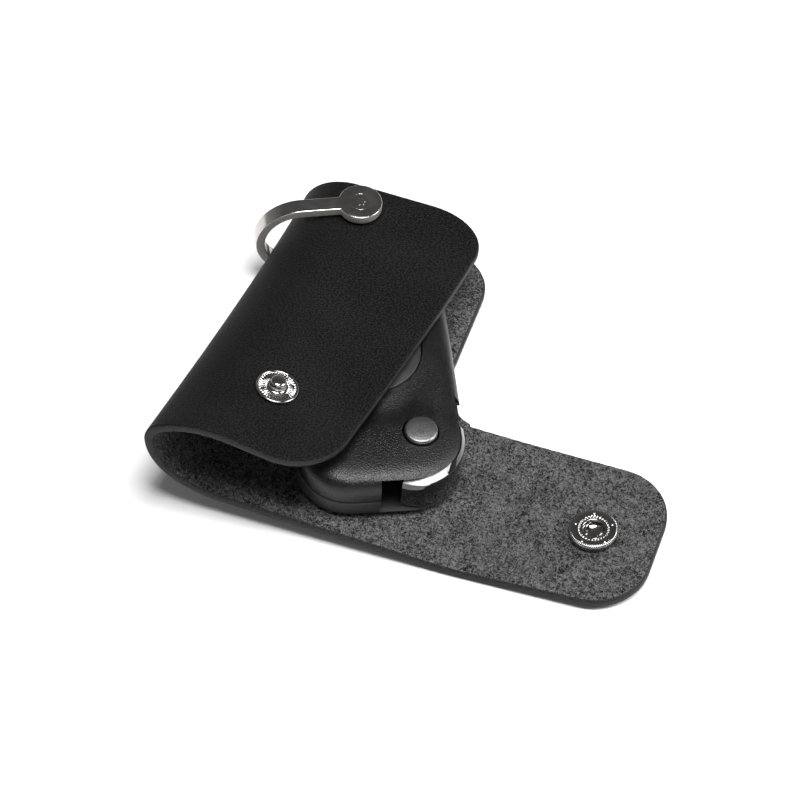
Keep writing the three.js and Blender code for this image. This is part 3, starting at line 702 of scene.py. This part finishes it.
def snap_socket():
    place = place_on_sheet(SOCKET_FROM_TIP, SNAP_Y, "flesh")
    beads, inner_beads = 72, 30
    profile = [
        (2.75, 0.8), (4.25, 0.8), (4.25, 0.3), (5.9, 0.3), (6.14, 0.5), (6.2, 0.8), (6.2, 1.4), (6.19, 1.72),
        (6.12, 1.95), (5.98, 2.1), (5.82, 2.14), (5.7, 2.1), (4.2, 2.1), (3.98, 2.08), (3.9, 2.12),
        (3.76, 2.14), (3.62, 2.12), (3.52, 2.04), (3.3, 2.02), (3.12, 2.08), (2.98, 2.1), (2.84, 2.0),
        (2.74, 1.75), (2.68, 1.3), (2.75, 0.8),
    ]
    outer = {7: 0.06, 8: 0.14, 9: 0.14, 10: 0.08}  # the depth between beads at profile points
    inner = {14: 0.08, 15: 0.16, 16: 0.08}

    def beaded(angle, i):
        notch = outer.get(i, 0) * (math.cos(beads * angle) - 1)
        return 0, notch + inner.get(i, 0) * (math.cos(inner_beads * angle) - 1)

    rings = [lathe_rings(profile, beads * 6, beaded)]
    dot = [(0.4, 2.0), (0.38, 2.12), (0.27, 2.17), (0.12, 2.2), (0.01, 2.2)]
    dots, dots_at, first_turn = 5, 4.85, 0.576
    for k in range(dots):
        turn = 2 * math.pi * k / dots + first_turn
        x, y = dots_at * math.cos(turn), dots_at * math.sin(turn)
        rings.append([[(x + px, y + py, z) for px, py, z in ring] for ring in lathe_rings(dot, 20)])
    socket = merged("snap_socket_beaded", rings, [SNAP_NICKEL], place, sharp=50)
    rides(socket, "flap", "snap_metal", "snap_socket")
    for name, side in (("left", -1), ("right", 1)):
        turns = [math.radians(a) for a in range(-52, 53, 8)]
        bow = [(side * 2.19 * math.cos(t), 2.33 * math.sin(t), 1.55) for t in turns]
        wire = merged("snap_spring_wire_" + name, [tube_rings(bow, 0.28)], [SNAP_NICKEL], place)
        rides(wire, "flap", "snap_metal", "snap_spring_" + name)
    cup = [(AXIS, 0.02), (1.2, 0.02), (1.9, 0.06), (2.45, 0.28), (2.58, 0.8), (2.58, 0.0), (AXIS, -0.1)]
    rides(lathe("snap_socket_cup", cup, [SNAP_NICKEL], place), "flap", "snap_metal")
    under = -LEATHER - 0.1
    cap = [
        (AXIS, under - 0.65), (2.0, under - 0.64), (3.5, under - 0.58), (4.6, under - 0.47),
        (5.4, under - 0.33), (5.9, under - 0.15), (6.1, under), (1.3, under), (1.3, -0.1), (AXIS, -0.1),
    ]
    rides(lathe("snap_cap_domed", cap, [SNAP_NICKEL], place), "flap", "snap_metal", "snap_cap")


snap_stud()
snap_socket()


# ---- The flip key -------------------------------------------------------------------------------------
FOB_X, FOB_Y, FOB_Z, FOB_LEAN, FOB_TURN = -21.0, -3.6, 5.9, 4, 25
HALF, TOP, BOTTOM, SPLIT, WALL = 21.5, 38.5, -41.2, 5.95, 1.5
PIVOT_U, PIVOT_V, PIN_V, PIN_R = 9.9, -25.4, 35.2, 1.25
HUB_R, HUB_SWING, HUB_LEFT, HUB_LOW, HUB_HIGH = 10.7, 15.1, -6.0, 1.9, 12.0
RING_LOW, RING_HEIGHT = 5, 2.6
BLADE_LEFT, BLADE_RIGHT, BLADE_TIP, BLADE_LOW, BLADE_HIGH = 11.6, 19.6, 30, 6.6, 8.8
PAD_U, PAD_V, PAD_W, PAD_L = -1.2, 9.6, 14.4, 21.4
BUTTON_VS, BUTTON_W, BUTTON_L, BUTTON_R = (22.5, 10.6, -1.3), 8.6, 4.4, 4
NEAR_RIGHT_CORNER = 15.5
FOB_CORNERS = (13.5, NEAR_RIGHT_CORNER, 14, 14)
TOP_EDGE, TOP_INSET = 13.32, 6.0  # the height and inset where the rounded edge ends and the top begins
GAP = 0.3  # clearance round the hub, the blade's root, the keypad and the buttons
FOB = Matrix.Translation((FOB_X, FOB_Y, FOB_Z)) @ Matrix.Rotation(math.radians(FOB_LEAN), 4, "Y")
FOB = FOB @ Matrix.Rotation(math.radians(FOB_TURN), 4, "Z")


def rounded(x0, x1, y0, y1, radii, steps=14):
    """A rectangle with its own radius at each corner: near left, near right, far right, far left."""
    nl, nr, fr, fl = radii
    centres = [
        (x1 - nr, y0 + nr, nr, -90), (x1 - fr, y1 - fr, fr, 0),
        (x0 + fl, y1 - fl, fl, 90), (x0 + nl, y0 + nl, nl, 180),
    ]
    points = []
    for k, (cx, cy, radius, start) in enumerate(centres):
        for i in range(steps + 1):
            t = math.radians(start + 90 * i / steps)
            points.append((cx + radius * math.cos(t), cy + radius * math.sin(t)))
        nx, ny, nradius, nstart = centres[(k + 1) % 4]
        ahead = (nx + nradius * math.cos(math.radians(nstart)), ny + nradius * math.sin(math.radians(nstart)))
        here = points[-1]
        dx, dy = ahead[0] - here[0], ahead[1] - here[1]
        points += [(here[0] + dx * i / 6, here[1] + dy * i / 6) for i in range(1, 6)]
    return points


def fob_outline(inset):
    radii = [max(1.0, radius - inset) for radius in FOB_CORNERS]
    return rounded(-HALF + inset, HALF - inset, BOTTOM + inset, TOP - inset, radii)


def tapered(v, z):
    """The fob gets thinner towards its ring end."""
    share = smooth((v + 6) / (TOP + 6))
    return SPLIT + (z - SPLIT) * (1 - 0.3 * share) if z > SPLIT else z


def top_relief(u, v):
    """The gently sculpted top: hollow beside the keypad and swelling round the release button."""
    reach = math.hypot((u - PAD_U) / (PAD_W + 0.5), (v - PAD_V) / (PAD_L + 0.5))
    hollow = -0.55 * math.exp(-((reach - 1.28) / 0.16) ** 2)
    swell = 0.3 * math.exp(-(((u - PIVOT_U) / 9) ** 2 + ((v - PIVOT_V) / 9) ** 2))
    return (hollow + swell) * smooth((9.5 - abs(v + 8) / 4) / 3)


def cylinder_cutter(radius, low, high, x=0.0, y=0.0, sides=72, place=FOB):
    ends = lathe_rings([(radius, low), (radius, high)], sides)
    rings = [[(x + px, y + py, pz) for px, py, pz in ring] for ring in ends]
    return skinned("cutter", rings, [], place)


def prism_cutter(outline, low, high):
    return skinned("cutter", [[(x, y, z) for x, y in outline] for z in (low, high)], [], FOB)


def swept_cutter():
    """The room that the hub needs to turn in, kept inside the near wall."""
    radius, edge, sides = HUB_SWING + GAP, BOTTOM + WALL, 96
    ring = []
    for k in range(sides):
        t = 2 * math.pi * k / sides
        ring.append((PIVOT_U + radius * math.cos(t), max(edge, PIVOT_V + radius * math.sin(t))))
    return prism_cutter(ring, HUB_LOW - GAP, HUB_HIGH + GAP)


def hub_slot():
    """The case's opening for the hub, from inside it out past its near right corner."""
    return box_cutter(-1.5, 30, -50, -14.6, HUB_LOW - GAP, HUB_HIGH + GAP, FOB)


def ring_slot():
    """The opening for the split ring, out past the case's far end and left side."""
    gap = 0.5
    return box_cutter(-30, 12.5, 29, 60, RING_LOW - gap, RING_LOW + RING_HEIGHT + gap, FOB)


def pin_bore():
    return cylinder_cutter(PIN_R + 0.2, 1.6, 9.2, 0, PIN_V, 32)


def pad_outline(grow):
    half_w, half_l = PAD_W + grow, PAD_L + grow
    return rounded(PAD_U - half_w, PAD_U + half_w, PAD_V - half_l, PAD_V + half_l, [half_w - 0.4] * 4)


def button_outline(v, grow):
    half_w, half_l = BUTTON_W + grow, BUTTON_L + grow
    return rounded(PAD_U - half_w, PAD_U + half_w, v - half_l, v + half_l, [BUTTON_R + grow] * 4)


def fob_shells():
    levels = [(2.4, 0.0), (1.5, 0.12), (0.8, 0.5), (0.3, 1.1), (0.06, 1.8), (0.0, 2.4), (0.0, 4.2)]
    levels += [(0.0, SPLIT - 0.4), (0.22, SPLIT - 0.15)]
    rings = [[(x, y, z) for x, y in fob_outline(inset)] for inset, z in levels]
    lower = skinned("fob_base_shell", rings, [LOW_SHELL], FOB)
    cavity = prism_cutter(fob_outline(WALL), WALL, 4.4)
    screw_bore = cylinder_cutter(1.1, -1, 4, -14, -29, 24)
    subtract(lower, hub_slot(), swept_cutter(), ring_slot(), pin_bore(), screw_bore, cavity)
    rides(lower, "fob", "shell_plastic", "fob_lower_shell")

    # Inset on the left side, inset on the right side over the blade's hub, and height before the taper.
    sides = (
        (0.22, 0.22, SPLIT + 0.15), (0.0, 0.0, SPLIT + 0.4), (0.0, 0.0, 8.0), (0.06, 0.0, 9.0),
        (0.22, 0.1, 10.0), (0.55, 0.36, 10.9), (1.05, 0.72, 11.6), (1.8, 1.4, 12.25),
        (2.8, 2.4, 12.75), (4.2, 4.0, 13.12), (TOP_INSET, TOP_INSET, TOP_EDGE),
    )
    right_from, right_over = 9, 9  # where the right side's inset takes over, and across what width
    rings = []
    for left, right, z in sides:
        ring = []
        for (x0, y0), (x1, y1) in zip(fob_outline(left), fob_outline(right)):
            share = smooth((x0 - right_from) / right_over)
            ring.append((x0 + (x1 - x0) * share, y0 + (y1 - y0) * share, tapered(y0, z)))
        rings.append(ring)
    inner = fob_outline(TOP_INSET)
    middle, steps = (0.0, -1.0), 15
    for step in range(1, steps):
        share = 1 - step / steps
        ring = []
        for x, y in inner:
            u, v = middle[0] + (x - middle[0]) * share, middle[1] + (y - middle[1]) * share
            relief = top_relief(u, v) * smooth((1 - share) * 6)
            ring.append((u, v, tapered(v, TOP_EDGE + 0.1 * (1 - share)) + relief))
        rings.append(ring)
    upper = skinned("fob_top_shell", rings, [SHELL], FOB, sharp=30)
    slot = box_cutter(BLADE_LEFT - 1, 30, -20, BLADE_TIP + 2.2, BLADE_LOW - 0.5, BLADE_HIGH + 0.6, FOB)
    cutters = [hub_slot(), swept_cutter(), ring_slot(), pin_bore(), slot]
    cutters.append(prism_cutter(pad_outline(GAP), 6.5, 20))
    cutters.append(cylinder_cutter(4.75, 5, 20, PIVOT_U, PIVOT_V))
    subtract(upper, *cutters)
    rides(upper, "fob", "shell_plastic", "fob_upper_shell")


def stacked(name, outline, levels, materials, taper=True):
    """A closed piece through outline(inset) at each height, tapered like the fob's top."""
    rings = []
    for inset, z in levels:
        rings.append([(x, y, tapered(y, z) if taper else z) for x, y in outline(inset)])
    return skinned(name, rings, materials, FOB)


def fob_keys():
    levels = [(0.0, 11.2), (0.0, 12.75), (0.06, 12.95), (0.22, 13.15), (0.5, 13.28)]
    pad = stacked("fob_soft_keypad", lambda inset: pad_outline(-inset), levels, [PAD])
    subtract(pad, *[prism_cutter(button_outline(v, GAP), 5, 20) for v in BUTTON_VS])
    rides(pad, "fob", "keypad_rubber", "fob_keypad")
    levels = [(0.0, 11.9), (0.0, 13.05), (0.08, 13.3), (0.28, 13.5), (0.7, 13.65), (1.4, 13.73)]
    levels.append((2.6, 13.75))
    for v, name in zip(BUTTON_VS, ("lock", "unlock", "boot")):
        button = stacked("fob_key_" + name, lambda inset, v=v: button_outline(v, -inset), levels, [BUTTON])
        rides(button, name, "button_plastic", f"fob_{name}_button")


def release_button():
    place = FOB @ Matrix.Translation((PIVOT_U, PIVOT_V, 0))
    profile = [
        (AXIS, 7.2), (4.35, 7.2), (4.35, 13.9), (4.3, 14.2), (4.12, 14.45), (3.85, 14.6), (3.6, 14.66),
        (3.35, 14.68), (3.2, 14.7), (2.4, 14.79), (1.2, 14.84), (AXIS, 14.85),
    ]
    rides(lathe("fob_release_cap", profile, [RELEASE], place), "release", "button_metal", "release_button")
    turns, steps, radius, wire = 5, 72, 2.05, 0.28
    foot, height = HUB_LOW + 1.85, 2.7
    path = []
    for k in range(turns * steps + 1):
        t = 2 * math.pi * k / steps
        path.append((radius * math.cos(t), radius * math.sin(t), foot + height * k / (turns * steps)))
    coil = merged("release_coil", [tube_rings(path, wire, 8)], [PLAIN_STEEL], place)
    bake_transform(coil)
    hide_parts("release_button_spring")


def in_case(u, v, inset):
    """Whether a point lies inside the fob's outline drawn in by inset."""
    radius = NEAR_RIGHT_CORNER - inset
    cu, cv = HALF - NEAR_RIGHT_CORNER, BOTTOM + NEAR_RIGHT_CORNER
    if u > cu and v < cv:
        return math.hypot(u - cu, v - cv) < radius
    return u < HALF - inset and v > BOTTOM + inset


def hub_outline(inset):
    """The hub about its pivot: round inside the case, and flush with the case's corner outside it."""
    start = math.degrees(math.atan2(-math.sqrt(HUB_SWING**2 - HUB_LEFT**2), HUB_LEFT))
    ring = []
    for a in evenly(start, 10, 60):
        c, d = math.cos(math.radians(a)), math.sin(math.radians(a))
        reach = HUB_R
        while reach < HUB_SWING and in_case(PIVOT_U + reach * c, PIVOT_V + reach * d, GAP):
            reach += 0.02
        # The chamfer is widest on the near side, and narrows going round to the right.
        narrow = inset * (1 - 0.72 * smooth((a + 105) / 75))
        ring.append(((reach - narrow) * c, (reach - narrow) * d))
    small = 0.12 * inset
    for radius, first, last, parts in ((HUB_R, 14, 62, 20), (8.2, 75, 205, 40)):
        for a in evenly(first, last, parts):
            c, d = math.cos(math.radians(a)), math.sin(math.radians(a))
            ring.append(((radius - small) * c, (radius - small) * d))
    ring.append((HUB_LEFT, -math.sqrt((HUB_R - small) ** 2 - HUB_LEFT**2)))
    return ring


def hub_and_blade():
    place = FOB @ Matrix.Translation((PIVOT_U, PIVOT_V, 0))
    levels = [(0.3, HUB_LOW), (0.08, HUB_LOW + 0.08), (0.0, HUB_LOW + 0.3), (0.0, HUB_HIGH - 1.5)]
    levels += [(0.1, HUB_HIGH - 1.3), (0.3, HUB_HIGH - 1.17), (2.6, HUB_HIGH - 0.15), (3.0, HUB_HIGH)]
    rings = [[(x, y, z) for x, y in hub_outline(inset)] for inset, z in levels]
    hub = skinned("fob_flip_hub", rings, [GLOSS, HUB_BEVEL_HIGHLIGHT], place)
    # The chamfer's sloping faces get the light metal, a painted highlight along the hub's top edge.
    for face in hub.data.polygons:
        slope = face.normal.normalized().dot((place.to_3x3() @ Vector((0, 0, 1))).normalized())
        face.material_index = 1 if 0.8 < slope < 0.97 else 0
    bore = cylinder_cutter(5.1, HUB_LOW + 1.2, 20, PIVOT_U, PIVOT_V)
    root = box_cutter(
        BLADE_LEFT - GAP, BLADE_RIGHT + GAP, PIVOT_V + 3, PIVOT_V + 20,
        BLADE_LOW - 0.2, BLADE_HIGH + 0.2, FOB,
    )
    subtract(hub, bore, root)
    rides(hub, "blade", "gloss_plastic", "blade_hub")

    mid = (BLADE_LEFT + BLADE_RIGHT) / 2
    shape = [(BLADE_LEFT, PIVOT_V + 4), (BLADE_RIGHT, PIVOT_V + 4), (BLADE_RIGHT, BLADE_TIP - 3.4)]
    shape += [(mid + 1, BLADE_TIP), (mid - 1, BLADE_TIP), (BLADE_LEFT, BLADE_TIP - 3.4)]
    levels = [(0.15, BLADE_LOW), (0.0, BLADE_LOW + 0.15), (0.0, BLADE_HIGH - 0.15), (0.15, BLADE_HIGH)]
    rings = []
    for inset, z in levels:
        k = 1 - inset / 4
        rings.append([(mid + (x - mid) * k, y if y < 0 else y - inset, z) for x, y in shape])
    blade = skinned("fob_flip_blade", rings, [BLADE_STEEL], FOB)
    wave = []
    for v in evenly(PIVOT_V + 14, BLADE_TIP - 4, 60):
        wave.append((mid + 1.1 * math.sin(v / 2.7) + 0.7 * math.sin(v / 1.15), v))
    track = [(x - 0.9, y) for x, y in wave] + [(x + 0.9, y) for x, y in reversed(wave)]
    subtract(blade, prism_cutter(track, BLADE_HIGH - 0.6, 12), prism_cutter(track, 5, BLADE_LOW + 0.6))
    rides(blade, "blade", "inner_steel", "key_blade")
    coil, points, steps = [], 121, 40
    for k in range(points):
        t = 2 * math.pi * k / steps
        radius = 3.45 + 1.05 * k / points
        coil.append((radius * math.cos(t), radius * math.sin(t), HUB_LOW + 2.3))
    spring = merged("hub_clock_spring", [tube_rings(coil, 0.16, 8)], [PLAIN_STEEL], place)
    rides(spring, "blade", "inner_steel", "blade_hub_spring")


def split_ring():
    """A key ring of flattened wire that goes round twice, with a step from one turn to the other."""
    point_height = 1.25  # the joint's point above the ring's underside
    steps, corners = 160, 16
    radius, half_width, half_height, foot, step = 9.6, 0.79, 0.6, 0.65, 1.3
    place = joint_place("ring_swing") @ Matrix.Translation((0, 0, -point_height))
    centre = (Vector(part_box("key_ring")[0]) + Vector(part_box("key_ring")[1])) / 2 / MM
    local = place.inverted() @ centre
    rings = []
    for k in range(steps + 1):
        t = 4 * math.pi * k / steps
        rise = step * smooth((k / steps - 0.42) / 0.16)
        section = []
        for a in range(corners):
            b = 2 * math.pi * a / corners
            w = half_width * math.copysign(abs(math.cos(b)) ** 0.6, math.cos(b))
            h = half_height * math.copysign(abs(math.sin(b)) ** 0.6, math.sin(b))
            x, y = local.x + (radius + w) * math.cos(t), local.y + (radius + w) * math.sin(t)
            section.append((x, y, foot + rise + h))
        rings.append(section)
    piece = merged("key_split_ring", [rings], [NICKEL], place)
    rides(piece, "ring", "polished_steel", "key_ring")


fob_shells()
fob_keys()
release_button()
hub_and_blade()
split_ring()
pin = [(AXIS, 1.8), (1.1, 1.8), (PIN_R, 1.95), (PIN_R, 8.85), (1.1, 9.0), (AXIS, 9.0)]
ring_pin = lathe("fob_pin", pin, [PLAIN_STEEL], FOB @ Matrix.Translation((0, PIN_V, 0)), sides=32)
rides(ring_pin, "fob", "polished_steel", "fob_ring_pin")

for node, material in (
    ("fob_case_screw", PLAIN_STEEL), ("fob_coin_battery", PLAIN_STEEL), ("battery_contact_low", PLAIN_STEEL),
    ("battery_contact_high", PLAIN_STEEL), ("fob_circuit_board", BOARD),
):
    NODES[node].data.materials.clear()
    NODES[node].data.materials.append(material)


# ---- Camera, floor and light --------------------------------------------------------------------------
def look(obj, target):
    obj.rotation_euler = (Vector(target) - obj.location).to_track_quat("-Z", "Y").to_euler()


def softbox(name, where, target, width, height, power, tone=(1, 1, 1)):
    data = bpy.data.lights.new(name, "AREA")
    data.shape, data.size, data.size_y, data.energy, data.color = "RECTANGLE", width, height, power, tone
    light = bpy.data.objects.new(name, data)
    light.location = where
    bpy.context.scene.collection.objects.link(light)
    look(light, target)
    return light


TARGET = Vector((-0.01325, -0.00055, 0))
azimuth, elevation, distance = math.radians(18.5), math.radians(51), 1.0
camera_data = bpy.data.cameras.new("camera")
camera_data.lens, camera_data.sensor_width = 173.25, 36
camera = bpy.data.objects.new("camera", camera_data)
out = math.cos(elevation)
direction = Vector((math.sin(azimuth) * out, -math.cos(azimuth) * out, math.sin(elevation)))
camera.location = TARGET + distance * direction
bpy.context.scene.collection.objects.link(camera)
look(camera, TARGET)
bpy.context.scene.camera = camera

floor_nodes = Nodes("white_table", Roughness=0.9, Specular_IOR_Level=0.1)
mottle = floor_nodes.noise(floor_nodes.place(), 0.02, 2)
floor_nodes.set("Base Color", floor_nodes.blend(mottle, grey(0.9), grey(0.93)))
corners = [(-2500, -2500, 0), (2500, -2500, 0), (2500, 2500, 0), (-2500, 2500, 0)]
floor = mesh_piece("table_top", corners, [(0, 1, 2, 3)], [floor_nodes.material])

softbox("key_light", (0.95, 0.3, 0.8), (0, 0, 0), 0.6, 0.6, 13)
softbox("top_light", (0.15, -0.06, 1.3), (0, 0, 0), 0.6, 0.6, 21)
softbox("front_fill", (0.35, -1.2, 0.3), (0, 0, 0.01), 0.9, 0.35, 2, (1, 0.96, 0.92))

# The room: a dim ceiling over bright walls, so that level metal mirrors dark and its sides mirror light.
world = bpy.data.worlds.new("room")
bpy.context.scene.world = world
world.use_nodes = True
sky = world.node_tree
height = sky.nodes.new("ShaderNodeSeparateXYZ")
sky.links.new(sky.nodes.new("ShaderNodeTexCoord").outputs["Generated"], height.inputs[0])
fade = sky.nodes.new("ShaderNodeMapRange")
for socket, value in (("From Min", 0.1), ("From Max", 0.65), ("To Min", 0.35), ("To Max", 0.1)):
    fade.inputs[socket].default_value = value
sky.links.new(height.outputs["Z"], fade.inputs["Value"])
sky.links.new(fade.outputs["Result"], sky.nodes["Background"].inputs["Strength"])
sky.nodes["Background"].inputs["Color"].default_value = (1, 1, 1, 1)
bpy.context.scene.view_settings.view_transform = "Standard"
